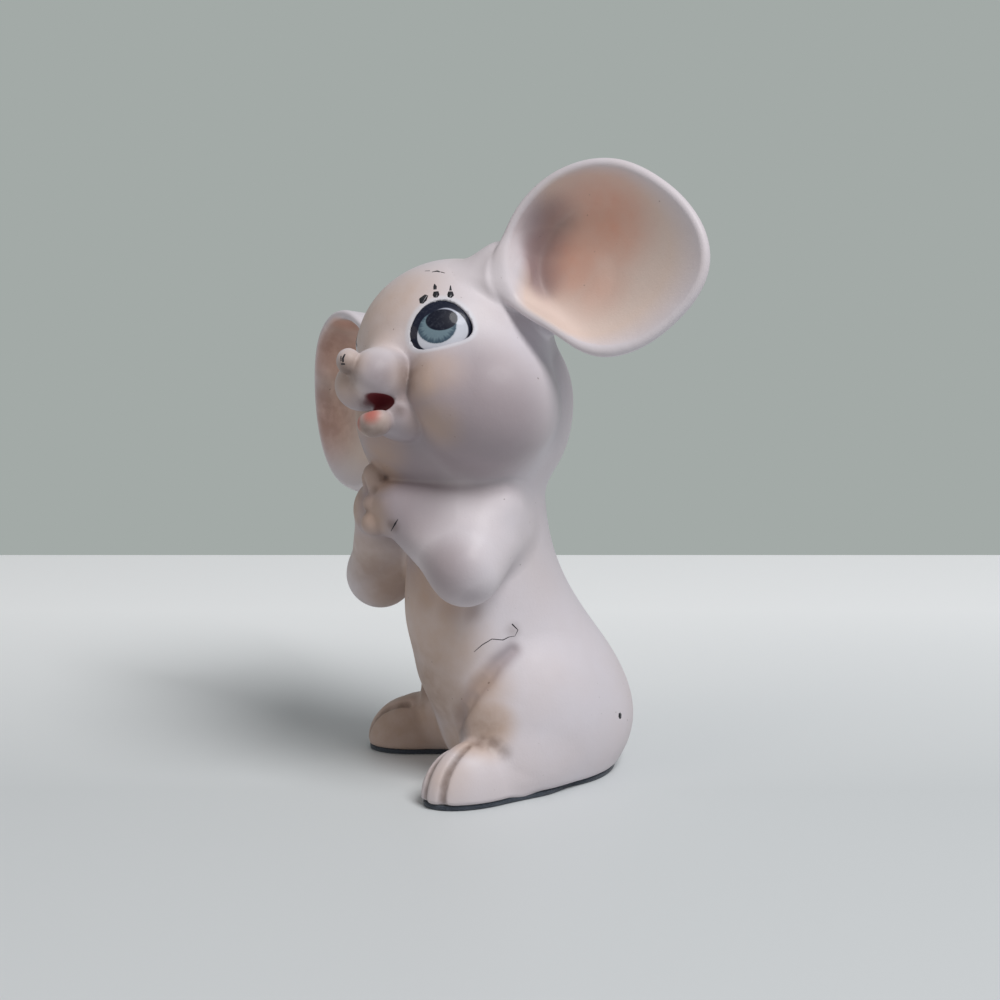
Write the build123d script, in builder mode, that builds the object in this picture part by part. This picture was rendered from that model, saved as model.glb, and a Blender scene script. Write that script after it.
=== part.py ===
"""A hollow ceramic mouse figurine: it sits up on its haunches with its hands clasped under its
chin and its head turned to its left, lifted and tilted.

The mouse faces -Y, its left side is +X and +Z is up. The origin is on the surface it stands
on, under the middle of the base. Lengths are in millimetres and angles in degrees."""

import os
from math import asin, cos, degrees, sin, sqrt

from build123d import *

# Ceramic walls and the felt under them
WALL = 3.2
FLOOR = 3.8
PAD_THICKNESS = 1.2
PAD_INSET = 0.5
VENT_RADIUS = 5.0
OVERRUN = 2.0

# Torso, from the base to the neck that stands inside the head
TORSO_HEIGHT = 74.8
HIP_HALF_WIDTH = 22.0
HIP_HALF_DEPTH = 24.0
torso_section_shares = (
    # height, place fore and aft, half width, half depth
    (0.000, 0.215, 0.960, 0.800),
    (0.050, 0.215, 1.000, 0.900),
    (0.165, 0.190, 1.020, 1.000),
    (0.286, 0.060, 0.980, 1.020),
    (0.358, -0.045, 0.930, 1.000),
    (0.465, -0.205, 0.840, 0.925),
    (0.600, -0.325, 0.760, 0.790),
    (0.733, -0.370, 0.700, 0.690),
    (0.866, -0.375, 0.640, 0.640),
    (1.000, -0.360, 0.600, 0.620),
)

# Haunches, the folded thighs on both sides of the hips
HAUNCH_HALF_WIDTH = 11.0
HAUNCH_HALF_LENGTH = 17.0
HAUNCH_HALF_HEIGHT = 19.0
haunch_place_shares = (0.66, -0.06, 0.178)

# Feet
FOOT_HALF_WIDTH = 8.0
FOOT_HALF_HEIGHT = 11.4
TOE_GROOVE_RADIUS = 1.5
TOE_GROOVE_SWEEP_ANGLE = 74.0
foot_place_shares = (0.909, -0.69, 0.0107)
foot_half_length_share = 0.5667
toe_groove_spread_share = 0.33
toe_groove_bend_share = 0.97

# Head: its places are shares of its radius, forward, to its left and up
HEAD_RADIUS = 21.5
HEAD_TURN_ANGLE = 23.0
HEAD_LIFT_ANGLE = 9.0
HEAD_TILT_ANGLE = 26.0
NAPE_COVER = 2.0
NAPE_HALF_HEIGHT = 14.0
head_on_neck_shares = (-0.093, -0.133, 0.82)
cranium_place_shares = (0.0, 0.0, 0.21)
brow_place_shares = (0.24, -0.03, 0.17)
brow_radius_share = 0.92
head_form_shares = {
    # place: forward, left, up; half sizes along the same
    "left cheek": ((0.19, 0.465, -0.545), (0.77, 0.72, 0.72)),
    "right cheek": ((0.19, -0.44, -0.535), (0.77, 0.70, 0.70)),
    "muzzle": ((0.90, 0.0, -0.01), (0.74, 0.44, 0.38)),
    "chin": ((0.92, 0.0, -0.50), (0.48, 0.33, 0.30)),
    "left lip": ((1.30, 0.21, -0.163), (0.28, 0.26, 0.25)),
    "right lip": ((1.30, -0.21, -0.163), (0.28, 0.26, 0.25)),
    "nose": ((1.60, 0.0, 0.047), (0.13, 0.145, 0.135)),
    "lower lip": ((1.36, 0.0, -0.60), (0.16, 0.17, 0.15)),
    "back of the head": ((-0.50, 0.22, -0.28), (0.56, 0.60, 0.80)),
}
mouth_place_shares = (1.46, 0.0, -0.42)
mouth_size_shares = (0.24, 0.12, 0.075)
head_hollow_place_shares = (0.10, 0.0, -0.42)
head_hollow_size_shares = (0.56, 0.66, 0.56)

# Eyes: glossy ovals that stand a little proud of the head
EYE_HALF_WIDTH = 8.5
EYE_HALF_HEIGHT = 7.3
EYE_HALF_DEPTH = 4.0
EYE_RISE = 0.7
EYE_TURN_ANGLE = 47.0
EYE_LIFT_ANGLE = 3.0

# Ears: oval cups with a thin wall, deepest along a valley near the head, on a short root
EAR_LONG_RADIUS = 24.4
EAR_SHORT_RADIUS = 20.6
EAR_DEPTH = 11.0
EAR_WALL = 2.4
EAR_RIM_WIDTH = 1.4
EAR_RIM_ROUNDING = 0.6
EAR_VALLEY_HALF_LENGTH = 9.0
EAR_VALLEY_HALF_WIDTH = 3.0
ear_valley_place_share = 0.68
ear_floor_curve_share = 1.4
ear_section_shares = (1.0, 0.9, 0.75, 0.55, 0.35, 0.15, 0.0)
EAR_SEAT = 1.2
EAR_BEARING_ANGLE = 94.0
EAR_RISE_ANGLE = 7.4
EAR_TURN_ANGLE = 19.0
EAR_DIP_ANGLE = 5.6
EAR_SLANT_ANGLE = 26.0
EAR_ROOT_HALF_WIDTH = 9.5
EAR_ROOT_HALF_LENGTH = 15.0
EAR_ROOT_HALF_DEPTH = 7.5
ear_root_inset_share = 0.4
ear_root_sink_share = 0.6

# Arms: their joints are shares of how far the arms spread to the side, reach forward and hang,
# all from the middle of the neck's top
ARM_SPREAD = 20.0
ARM_REACH = 26.0
ARM_HANG = 32.0
SHOULDER_RADIUS = 8.2
ELBOW_RADIUS = 7.2
FOLD_RADIUS = 9.0
WRIST_RADIUS = 5.2
HAND_HALF_WIDTH = 4.8
HAND_HALF_THICKNESS = 4.8
HAND_HALF_HEIGHT = 6.4
FINGER_RADIUS = 1.9
arm_joint_shares = {
    # shoulder, elbow, fold of the arm, wrist, hand, finger base, finger tip
    "left": (
        (0.572, 0.018, 0.491),
        (1.000, 0.406, 0.725),
        (0.682, 0.277, 0.526),
        (0.352, 0.775, 0.421),
        (0.165, 0.895, 0.362),
        (0.132, 0.960, 0.222),
        (0.110, 0.997, 0.098),
    ),
    "right": (
        (-0.572, 0.092, 0.514),
        (-1.012, 0.702, 1.000),
        (-0.682, 0.498, 0.701),
        (-0.330, 0.868, 0.468),
        (-0.154, 0.895, 0.386),
        (-0.132, 0.960, 0.269),
        (-0.121, 0.988, 0.164),
    ),
}

SIDES = {"left": 1, "right": -1}
UNIT_BALL = Sphere(1)
UNIT_DISC = Circle(1)


def torso_point(shares):
    """A point given as shares of the hips' half width and half depth and of the torso's height"""
    across, along, up = shares
    return Vector(across * HIP_HALF_WIDTH, along * HIP_HALF_DEPTH, PAD_THICKNESS + up * TORSO_HEIGHT)


def arm_point(shares):
    """A joint of an arm, from the middle of the neck's top"""
    across, forward, down = shares
    return neck_top + Vector(across * ARM_SPREAD, -forward * ARM_REACH, -down * ARM_HANG)


def of_head(shares):
    """Shares of the head's radius as lengths forward, to the left and up"""
    return tuple(share * HEAD_RADIUS for share in shares)


def ellipsoid(half_sizes, mode=Mode.ADD):
    """Adds an ellipsoid with these half sizes at the present place"""
    add(scale(UNIT_BALL, by=half_sizes, mode=Mode.PRIVATE), mode=mode)


def limb(start, end, start_radius, end_radius):
    """A round-ended limb between two points, tapered from one radius to the other"""
    run = end - start
    lean = asin((start_radius - end_radius) / run.length)
    across = Plane(origin=start, z_dir=run).x_dir
    side = Plane(origin=start, x_dir=across, z_dir=across.cross(run))
    start_rim = (start_radius * cos(lean), start_radius * sin(lean))
    end_rim = (end_radius * cos(lean), run.length + end_radius * sin(lean))
    with BuildPart() as form:
        with BuildSketch(side):
            with BuildLine():
                Line((0, run.length + end_radius), (0, -start_radius))
                CenterArc((0, 0), start_radius, -90, 90 + degrees(lean))
                Line(start_rim, end_rim)
                CenterArc((0, run.length), end_radius, degrees(lean), 90 - degrees(lean))
            make_face()
        revolve(axis=Axis(start, run))
    return form.part


def finish(piece, name):
    """Labels a finished piece and writes it"""
    piece.part.label = name
    export_step(piece.part, f"parts/{name}.step")


os.makedirs("parts", exist_ok=True)
base_plane = Plane.XY.offset(PAD_THICKNESS)
base_centre = torso_section_shares[0][1] * HIP_HALF_DEPTH
base_half_width = torso_section_shares[0][2] * HIP_HALF_WIDTH
base_half_depth = torso_section_shares[0][3] * HIP_HALF_DEPTH
neck_top = torso_point((0, torso_section_shares[-1][1], torso_section_shares[-1][0]))
neck_half_width = torso_section_shares[-1][2] * HIP_HALF_WIDTH
neck_half_depth = torso_section_shares[-1][3] * HIP_HALF_DEPTH

# Outer form of the body: a leaning torso with a haunch on each side
with BuildPart() as body_form:
    for height, place, width, depth in torso_section_shares:
        with BuildSketch(base_plane.offset(height * TORSO_HEIGHT)):
            with Locations((0, place * HIP_HALF_DEPTH)):
                Ellipse(width * HIP_HALF_WIDTH, depth * HIP_HALF_DEPTH)
    loft()
    haunch = torso_point(haunch_place_shares)
    for side in SIDES.values():
        with Locations((side * haunch.X, haunch.Y, haunch.Z)):
            ellipsoid((HAUNCH_HALF_WIDTH, HAUNCH_HALF_LENGTH, HAUNCH_HALF_HEIGHT))
    split(bisect_by=base_plane, keep=Keep.TOP)

# Space inside the body, open at the neck
with BuildPart() as body_hollow:
    for height, place, width, depth in torso_section_shares[1:]:
        top_run = OVERRUN if height == torso_section_shares[-1][0] else 0
        with BuildSketch(base_plane.offset(height * TORSO_HEIGHT + top_run)):
            with Locations((0, place * HIP_HALF_DEPTH)):
                Ellipse(width * HIP_HALF_WIDTH - WALL, depth * HIP_HALF_DEPTH - WALL)
    loft()
    split(bisect_by=base_plane.offset(FLOOR), keep=Keep.TOP)

with BuildPart() as body:
    add(body_form.part)
    add(body_hollow.part, mode=Mode.SUBTRACT)
    with Locations((0, base_centre, PAD_THICKNESS + FLOOR + OVERRUN)):
        Hole(VENT_RADIUS, depth=FLOOR + OVERRUN + OVERRUN)
finish(body, "body")

# Outer form of the head, with the nape that closes over the neck
head_centre = neck_top + Vector(of_head(head_on_neck_shares))
head_turn = Rot(Z=HEAD_TURN_ANGLE - 90)
head_place = Pos(head_centre) * head_turn * Rot(Y=-HEAD_LIFT_ANGLE) * Rot(X=HEAD_TILT_ANGLE)


def on_head(shares):
    """The place on the turned head given as shares of its radius"""
    return head_place * Pos(Vector(of_head(shares)))


with BuildPart() as head_form:
    with Locations(on_head(cranium_place_shares)):
        Sphere(HEAD_RADIUS)
    with Locations(on_head(brow_place_shares)):
        Sphere(HEAD_RADIUS * brow_radius_share)
    for place_shares, size_shares in head_form_shares.values():
        with Locations(on_head(place_shares)):
            ellipsoid(of_head(size_shares))
    with Locations(neck_top):
        ellipsoid((neck_half_width + NAPE_COVER, neck_half_depth + NAPE_COVER, NAPE_HALF_HEIGHT))

with BuildPart() as head:
    add(head_form.part)
    with Locations(on_head(cranium_place_shares)):
        Sphere(HEAD_RADIUS - WALL, mode=Mode.SUBTRACT)
    with Locations(on_head(head_hollow_place_shares)):
        ellipsoid(of_head(head_hollow_size_shares), mode=Mode.SUBTRACT)
    with Locations(on_head(mouth_place_shares)):
        ellipsoid(of_head(mouth_size_shares), mode=Mode.SUBTRACT)
    add(body_form.part, mode=Mode.SUBTRACT)
finish(head, "head")

# Eyes, seated on the round of the brow
eye_reach = HEAD_RADIUS * brow_radius_share + EYE_RISE - EYE_HALF_DEPTH
for name, side in SIDES.items():
    eye_turn = Rot(Z=side * EYE_TURN_ANGLE) * Rot(Y=-EYE_LIFT_ANGLE)
    eye_place = on_head(brow_place_shares) * eye_turn * Pos(X=eye_reach)
    with BuildPart() as eye:
        with Locations(eye_place):
            ellipsoid((EYE_HALF_DEPTH, EYE_HALF_WIDTH, EYE_HALF_HEIGHT))
        add(head_form.part, mode=Mode.SUBTRACT)
    finish(eye, f"eye_{name}")

# Ears: an oval cup with a rounded rim, its valley towards the head, and the root that carries it
ear_reach = HEAD_RADIUS + EAR_LONG_RADIUS - EAR_SEAT
root_reach = HEAD_RADIUS + ear_root_inset_share * EAR_ROOT_HALF_LENGTH
root_sink = ear_root_sink_share * EAR_DEPTH


def ear_bowl(inset, height):
    """An ear's cup as a solid bowl, its sides so far inside the outer ones and its rim so high"""
    with BuildPart() as bowl:
        for share in ear_section_shares:
            rest = 1 - share
            half_width = share * EAR_SHORT_RADIUS + rest * EAR_VALLEY_HALF_LENGTH - inset
            half_length = share * EAR_LONG_RADIUS + rest * EAR_VALLEY_HALF_WIDTH - inset
            depth = EAR_DEPTH * (1 - share**ear_floor_curve_share)
            with BuildSketch(Plane.XY.offset(height - depth)):
                with Locations((0, -rest * ear_valley_place_share * EAR_LONG_RADIUS)):
                    add(scale(UNIT_DISC, by=(half_width, half_length, 1), mode=Mode.PRIVATE))
        loft()
    return bowl.part


with BuildPart() as root_space:
    add(ear_bowl(EAR_RIM_WIDTH / 2, 0))
    extrude(root_space.faces().sort_by(Axis.Z)[-1], amount=EAR_DEPTH)

with BuildPart() as ear_cup:
    add(ear_bowl(0, -EAR_WALL / 2))
    extrude(ear_cup.faces().sort_by(Axis.Z)[-1], amount=EAR_WALL)
    add(ear_bowl(EAR_RIM_WIDTH, EAR_WALL / 2), mode=Mode.SUBTRACT)
    round_edges = ear_cup.edges().filter_by(GeomType.LINE, reverse=True)
    fillet(round_edges.filter_by_position(Axis.Z, -EAR_WALL, 0), EAR_RIM_ROUNDING)
    fillet(ear_cup.faces().sort_by(Axis.Z)[-1].edges(), EAR_RIM_ROUNDING)

for name, side in SIDES.items():
    bearing = Rot(Z=side * EAR_BEARING_ANGLE) * Rot(Y=-EAR_RISE_ANGLE)
    ear_line = on_head(cranium_place_shares) * bearing
    facing = Rot(head_place.orientation) * Rot(Z=side * EAR_TURN_ANGLE) * Rot(Y=90 + EAR_DIP_ANGLE)
    slant = Rot(Z=-EAR_SLANT_ANGLE if side > 0 else 180 + EAR_SLANT_ANGLE)
    ear_place = Pos((ear_line * Pos(X=ear_reach)).position) * facing * slant
    root_place = Pos((ear_line * Pos(X=root_reach)).position) * facing * Pos(Z=-root_sink)
    with BuildPart() as ear:
        with Locations(root_place):
            ellipsoid((EAR_ROOT_HALF_WIDTH, EAR_ROOT_HALF_LENGTH, EAR_ROOT_HALF_DEPTH))
        with Locations(ear_place):
            add(root_space.part, mode=Mode.SUBTRACT)
            add(ear_cup.part)
        add(head_form.part, mode=Mode.SUBTRACT)
    finish(ear, f"ear_{name}")

# Arms, each cut off at the middle plane, where the clasped hands meet
for name, side in SIDES.items():
    joints = [arm_point(shares) for shares in arm_joint_shares[name]]
    shoulder, elbow, fold, wrist, hand, finger_base, finger_tip = joints
    upper_arm = limb(shoulder, elbow, SHOULDER_RADIUS, ELBOW_RADIUS)
    forearm = limb(elbow, wrist, ELBOW_RADIUS, WRIST_RADIUS)
    finger = limb(finger_base, finger_tip, FINGER_RADIUS, FINGER_RADIUS)
    with BuildPart() as arm:
        add(upper_arm)
        add(forearm)
        with Locations(fold):
            Sphere(FOLD_RADIUS)
        with Locations(hand):
            ellipsoid((HAND_HALF_WIDTH, HAND_HALF_THICKNESS, HAND_HALF_HEIGHT))
        add(finger)
        split(bisect_by=Plane.YZ, keep=Keep.TOP if side > 0 else Keep.BOTTOM)
        add(body_form.part, mode=Mode.SUBTRACT)
        add(head_form.part, mode=Mode.SUBTRACT)
    finish(arm, f"arm_{name}")

# Feet, with two grooves between the toes
foot = torso_point(foot_place_shares)
foot_half_length = foot_half_length_share * HIP_HALF_DEPTH
groove_bend = FOOT_HALF_HEIGHT * toe_groove_bend_share
groove_shift = foot_half_length - FOOT_HALF_HEIGHT
for name, side in SIDES.items():
    with BuildPart() as paw:
        with Locations((side * foot.X, foot.Y, foot.Z)):
            ellipsoid((FOOT_HALF_WIDTH, foot_half_length, FOOT_HALF_HEIGHT))
        for groove_side in SIDES.values():
            groove_offset = groove_side * toe_groove_spread_share * FOOT_HALF_WIDTH
            groove_centre = (side * foot.X + groove_offset, foot.Y - groove_shift, foot.Z)
            with Locations(Plane(origin=groove_centre, x_dir=(0, -1, 0), z_dir=(-1, 0, 0))):
                Torus(
                    groove_bend,
                    TOE_GROOVE_RADIUS,
                    major_angle=TOE_GROOVE_SWEEP_ANGLE,
                    align=None,
                    mode=Mode.SUBTRACT,
                )
        split(bisect_by=base_plane, keep=Keep.TOP)
        add(body_form.part, mode=Mode.SUBTRACT)
    finish(paw, f"foot_{name}")

# Felt pad under the body, both haunches and both feet
haunch_base_share = sqrt(1 - ((haunch.Z - PAD_THICKNESS) / HAUNCH_HALF_HEIGHT) ** 2)
with BuildPart() as felt_pad:
    with BuildSketch():
        with Locations((0, base_centre)):
            Ellipse(base_half_width - PAD_INSET, base_half_depth - PAD_INSET)
        with Locations(*((side * haunch.X, haunch.Y) for side in SIDES.values())):
            haunch_base_half_width = haunch_base_share * HAUNCH_HALF_WIDTH - PAD_INSET
            haunch_base_half_length = haunch_base_share * HAUNCH_HALF_LENGTH - PAD_INSET
            Ellipse(haunch_base_half_width, haunch_base_half_length)
        with Locations(*((side * foot.X, foot.Y) for side in SIDES.values())):
            Ellipse(FOOT_HALF_WIDTH - PAD_INSET, foot_half_length - PAD_INSET)
    extrude(amount=PAD_THICKNESS)
finish(felt_pad, "felt_pad")
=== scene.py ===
"""Dresses the ceramic mouse figurine: a smooth sculpted skin for each ceramic piece, painted
eyes, fine brush lines and a felt pad, with a pale table, soft lamps and the camera.

Shapes are worked out in millimetres, as fields that are negative inside the clay, and become meshes
in metres. In the fields, p are points in the part's frame, q in the head's and e in an eye's."""

import math

import bpy
import numpy as np
from mathutils import Matrix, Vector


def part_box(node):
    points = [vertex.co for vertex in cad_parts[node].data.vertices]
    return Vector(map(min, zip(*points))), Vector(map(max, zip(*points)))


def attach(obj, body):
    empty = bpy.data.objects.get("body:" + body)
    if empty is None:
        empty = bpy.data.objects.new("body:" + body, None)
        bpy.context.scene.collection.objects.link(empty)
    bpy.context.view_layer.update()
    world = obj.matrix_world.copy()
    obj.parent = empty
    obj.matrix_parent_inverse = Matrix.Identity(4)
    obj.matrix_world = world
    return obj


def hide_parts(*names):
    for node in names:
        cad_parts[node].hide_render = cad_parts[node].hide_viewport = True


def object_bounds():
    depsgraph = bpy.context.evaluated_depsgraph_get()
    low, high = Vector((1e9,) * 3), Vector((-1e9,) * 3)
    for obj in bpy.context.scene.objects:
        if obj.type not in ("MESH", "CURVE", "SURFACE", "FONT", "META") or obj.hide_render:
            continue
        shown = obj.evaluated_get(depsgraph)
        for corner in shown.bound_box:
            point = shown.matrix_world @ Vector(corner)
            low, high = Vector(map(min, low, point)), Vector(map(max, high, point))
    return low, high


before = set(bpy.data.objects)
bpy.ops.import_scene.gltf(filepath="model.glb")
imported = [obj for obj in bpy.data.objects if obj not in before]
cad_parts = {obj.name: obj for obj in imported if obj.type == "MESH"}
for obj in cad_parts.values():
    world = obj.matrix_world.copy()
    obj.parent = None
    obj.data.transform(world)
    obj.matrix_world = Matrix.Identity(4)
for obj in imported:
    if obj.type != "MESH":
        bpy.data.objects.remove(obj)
cad_low, cad_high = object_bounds()

MM = 0.001
VOXEL = 0.5
BLOCK = 4

# Body: height, place fore and aft, half width and half depth of its sections
TORSO_SECTIONS = (
    (1.2, 5.2, 21.1, 19.2),
    (4.9, 5.2, 22.0, 21.6),
    (13.5, 4.6, 22.4, 24.0),
    (22.6, 1.4, 21.6, 24.5),
    (28.0, -0.7, 20.5, 23.6),
    (36.0, -4.4, 18.5, 21.7),
    (46.1, -7.5, 16.7, 18.7),
    (56.0, -8.9, 15.4, 16.6),
    (66.0, -9.0, 14.1, 15.4),
    (76.0, -8.6, 13.2, 14.9),
)
TORSO_TOP_REACH = 4.0
TORSO_TOP_EASE = 3.0
BASE_EASE = 1.4
PAD_TOP = 1.2
PAD_INSET = 0.5
PAD_FILLET = 2.0
PAD_FOOT_FILLET = 3.0
PAD_EASE = 0.35
PAD_VOXEL = 0.35
PAD_MARGIN = 1.1
HAUNCH_PLACE = (14.5, -1.44, 14.5)
HAUNCH_SIZE = (11.0, 17.0, 19.0)
HEEL_PLACE = (17.6, -6.6, 6.0)
HEEL_SIZE = (8.6, 13.0, 10.0)
HAUNCH_FILLET = 4.0
THIGH_CREASE = (
    ((19.2, -7.9, 33.3), 0.3),
    ((19.0, -11.5, 30.4), 0.7),
    ((18.8, -13.8, 27.3), 1.0),
    ((17.5, -16.4, 23.9), 1.2),
    ((15.7, -18.2, 19.9), 1.3),
    ((12.4, -18.7, 15.6), 1.3),
)
THIGH_CREASE_EASE = 2.0
THIGH_CREASE_SHADE = 0.85
THIGH_CREASE_SHADE_RANGE = (-3.2, 0.3)
FOOT_PLACE = (20.0, -16.6, 2.0)
FOOT_SIZE = (8.0, 13.6, 11.4)
FOOT_TURN = 10.0
TOE_GROOVE_STARTS = ((-3.2, -4.0), (1.2, -3.0))
TOE_GROOVE_TURN = 20.0
TOE_GROOVE_RADIUS = 0.6
TOE_GROOVE_EASE = 1.0
TOE_GROOVE_DARKENING = (0.75, 0.45)
SOLE_EASE = 1.2

# Head: forward, to its left and up from its centre
HEAD_CENTRE = np.array([-2.0, -11.5, 93.63])
HEAD_TURN = -67.0
HEAD_NOD = -9.0
HEAD_TILT = 26.0
NECK_TOP = (0.0, -8.64, 76.0)
NAPE_SIZE = (15.2, 16.9, 14.0)
CRANIUM = np.array([0.0, 0.0, 4.5])
BROW = np.array([5.16, -0.65, 3.66])
SKULL_FORMS = (
    # place, half sizes, blend with what comes before
    (CRANIUM, (21.5, 21.5, 21.5), 1.0),
    (BROW, (19.8, 19.8, 19.8), 5.0),
    ((5.0, 9.4, -11.6), (17.2, 16.0, 15.6), 5.0),
    ((5.0, -9.1, -11.5), (17.2, 15.4, 15.1), 5.0),
    ((17.8, 9.6, -8.8), (7.4, 7.4, 8.8), 3.5),
    ((17.6, -9.2, -8.8), (7.0, 7.0, 8.8), 3.5),
    ((-10.75, 4.7, -6.0), (12.0, 12.9, 17.2), 1.6),
)
SNOUT_FORMS = (
    ((20.0, 0.0, -3.2), (14.0, 6.8, 7.6), 1.0),
    ((20.0, 0.0, -12.0), (9.6, 6.4, 5.6), 1.2),
    ((28.6, 3.4, -4.0), (6.3, 4.6, 5.4), 3.0),
    ((28.0, -4.3, -3.8), (6.2, 5.4, 5.6), 0.7),
    ((34.2, 0.0, -0.3), (2.7, 2.7, 2.9), 0.6),
    ((30.1, 0.0, -14.1), (3.7, 3.9, 3.1), 0.7),
)
SNOUT_FILLET = 0.6
SNOUT_TOP_FILLET = 4.0
SNOUT_TOP_RANGE = (-1.0, 5.0)
NAPE_FILLET = 8.0
LID_FILLET = 0.8
LID_EDGE_EASE = 0.4
LIP_EASE = 0.9
MOUTH_PLACE = (30.0, 0.6, -10.2)
MOUTH_SIZE = (5.0, 4.0, 2.1)

# Eyes: their axes point out of the head, towards its side and up
EYE_TURN = 47.0
EYE_LIFT = 3.0
EYE_REACH = 16.48
EYE_SIZE = np.array([4.0, 8.5, 7.3])
EYE_BULGE_INSET = 0.25
EYE_BED_INSET = 0.3
EYE_BED_DEPTH = 1.0
EYE_NEARBY = 14.0
LID_PAINT_DEPTH = 2.0
EYE_MIDDLE = (0.2, -0.8)
EYE_OUTLINE = (6.6, 6.05, 6.08, 6.04, 5.9, 6.02, 6.75, 7.1, 5.7, 4.85, 5.25, 6.8)
LINER_WIDTH = (1.1, 1.3, 1.8, 2.4, 2.3, 1.8, 1.7, 0.9, 0.1, 0.1, 0.1, 0.8)
PUPIL_PLACE = (0.6, 0.35)
PUPIL_SIZE = (3.5, 2.5)
IRIS_PLACE = (-0.7, -0.9)
IRIS_SIZE = (4.2, 3.7)

# Ears: the way they stand out of the head, and the outline round their middle
EAR_BEARING = 94.0
EAR_RISE = 7.4
EAR_REACH = 44.7
EAR_TURN = 19.0
EAR_DIP = 5.6
EAR_SLANT = 26.0
EAR_OUTLINE = (21.3, 22.7, 23.3, 24.9, 22.6, 20.5, 20.7, 21.5, 22.8, 24.2, 23.8, 19.8)
EAR_WALL = 2.5
EAR_RADII = (20.6, 24.4)
EAR_DEPTH = 11.0
EAR_VALLEY_PLACE = -16.6
EAR_VALLEY_RADII = (8.3, 2.3)
EAR_VALLEY_SLANT = -0.16
EAR_FLOOR_CURVE = 1.4
EAR_TABLE_REACH = 40.0
EAR_TABLE_STEP = 0.5
EAR_HIGHEST_SHARE = 1.25
EAR_BISECTIONS = 20
EAR_SOFT_ROUNDS = 5
EAR_CURL = 2.4
EAR_CURL_RANGE = (7.0, 22.0)
EAR_BRIDGE_PLACE = (8.5, -25.0, -3.4)
EAR_BRIDGE_SIZE = (9.5, 7.5, 6.0)
EAR_ROOT_REACH = 27.5
EAR_ROOT_BEHIND = 6.6
EAR_ROOT_SIZE = (7.6, 14.0, 6.2)
EAR_ROOT_EASE = 2.0
EAR_FILLET = 4.0
EAR_PAINT_EDGE = 3.0
EAR_PAINT_SKIN = 0.4
EAR_SHADE_RANGE = (-20.0, -13.0)

# Arms: joints and radii
ARMS = {
    "left": {
        "shoulder": ((11.4, -9.1, 60.3), 8.2),
        "elbow": ((20.0, -19.2, 52.8), 7.2),
        "fold": ((13.6, -15.8, 59.2), 9.0),
        "wrist": ((7.0, -28.8, 62.5), 5.2),
        "hand": ((3.3, -31.9, 64.4), (4.8, 4.8, 6.4)),
        "finger": ((3.0, -33.8, 68.0), 2.1, (2.2, -35.0, 72.4), 2.1),
        "knuckles": (((3.7, -35.6, 65.9), 2.1), ((4.2, -35.4, 61.4), 2.9)),
        "sleeve": ((7.5, -31.0, 66.3), 4.4, (16.0, -9.5, 66.3), 4.4),
    },
    "right": {
        "shoulder": ((-11.4, -11.0, 59.5), 8.2),
        "elbow": ((-20.2, -26.9, 44.0), 7.2),
        "fold": ((-13.6, -21.6, 53.6), 9.0),
        "wrist": ((-6.6, -31.2, 61.0), 5.2),
        "hand": ((-3.1, -31.9, 63.7), (4.8, 4.8, 6.4)),
        "finger": ((-2.6, -33.6, 66.6), 1.9, (-2.4, -34.3, 70.6), 1.9),
        "knuckles": (((-3.9, -34.4, 65.0), 2.3), ((-4.4, -34.2, 59.8), 2.6)),
        "sleeve": ((-6.6, -31.0, 64.6), 4.4, (-14.5, -11.0, 64.2), 4.4),
    },
}
ELBOW_FILLET = 4.0
SLEEVE_FILLET = 5.0
HAND_FILLET = 2.0
KNUCKLE_FILLET = 0.7
FINGER_FILLET = 0.8

# Fillets where a node grows out of what carries it: the least, what is added and where
NODE_FILLET = 3.0
EAR_JOIN = (5.5, -4.0, (8.0, 14.0))
ARM_JOIN = (1.5, 5.0, 20.0)
FOOT_JOIN = (1.2, 2.0, (-14.0, -6.0), (-9.0, -4.0))

NODES = ("body", "head", "ear_left", "ear_right", "arm_left", "arm_right", "foot_left", "foot_right")
SIDES = {"left": 1.0, "right": -1.0}
FAR_AWAY = 1.0e3
BOX_MARGIN = 9.0
SKIN_MARGIN = 3.0
SLOPE_STEP = 0.05
LEAST_STEEPNESS = 0.05
BAND_SHARE = 0.9
LIP_DEPTH = 1.0
SMALL, TINY = 1.0e-6, 1.0e-9
MIRROR_ROUNDS = 14
PATCH_ROUNDS = 12


def turned(axis, degrees):
    """A rotation about one axis as an array"""
    return np.array(Matrix.Rotation(math.radians(degrees), 3, axis))


HEAD_AXES = turned("Z", HEAD_TURN) @ turned("Y", HEAD_NOD) @ turned("X", HEAD_TILT)
EAR_FACING = turned("Z", EAR_TURN) @ turned("Y", 90.0 + EAR_DIP)
EAR_LINE = turned("Z", EAR_BEARING) @ turned("Y", -EAR_RISE)
EAR_AXES = EAR_FACING @ turned("Z", -EAR_SLANT)
EAR_MIDDLE = CRANIUM + EAR_LINE[:, 0] * EAR_REACH
EAR_ROOT = CRANIUM + EAR_LINE[:, 0] * EAR_ROOT_REACH - EAR_FACING[:, 2] * EAR_ROOT_BEHIND
EYE_AXES = turned("Z", EYE_TURN) @ turned("Y", -EYE_LIFT)
EYE_CENTRE = BROW + EYE_AXES[:, 0] * EYE_REACH

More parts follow.
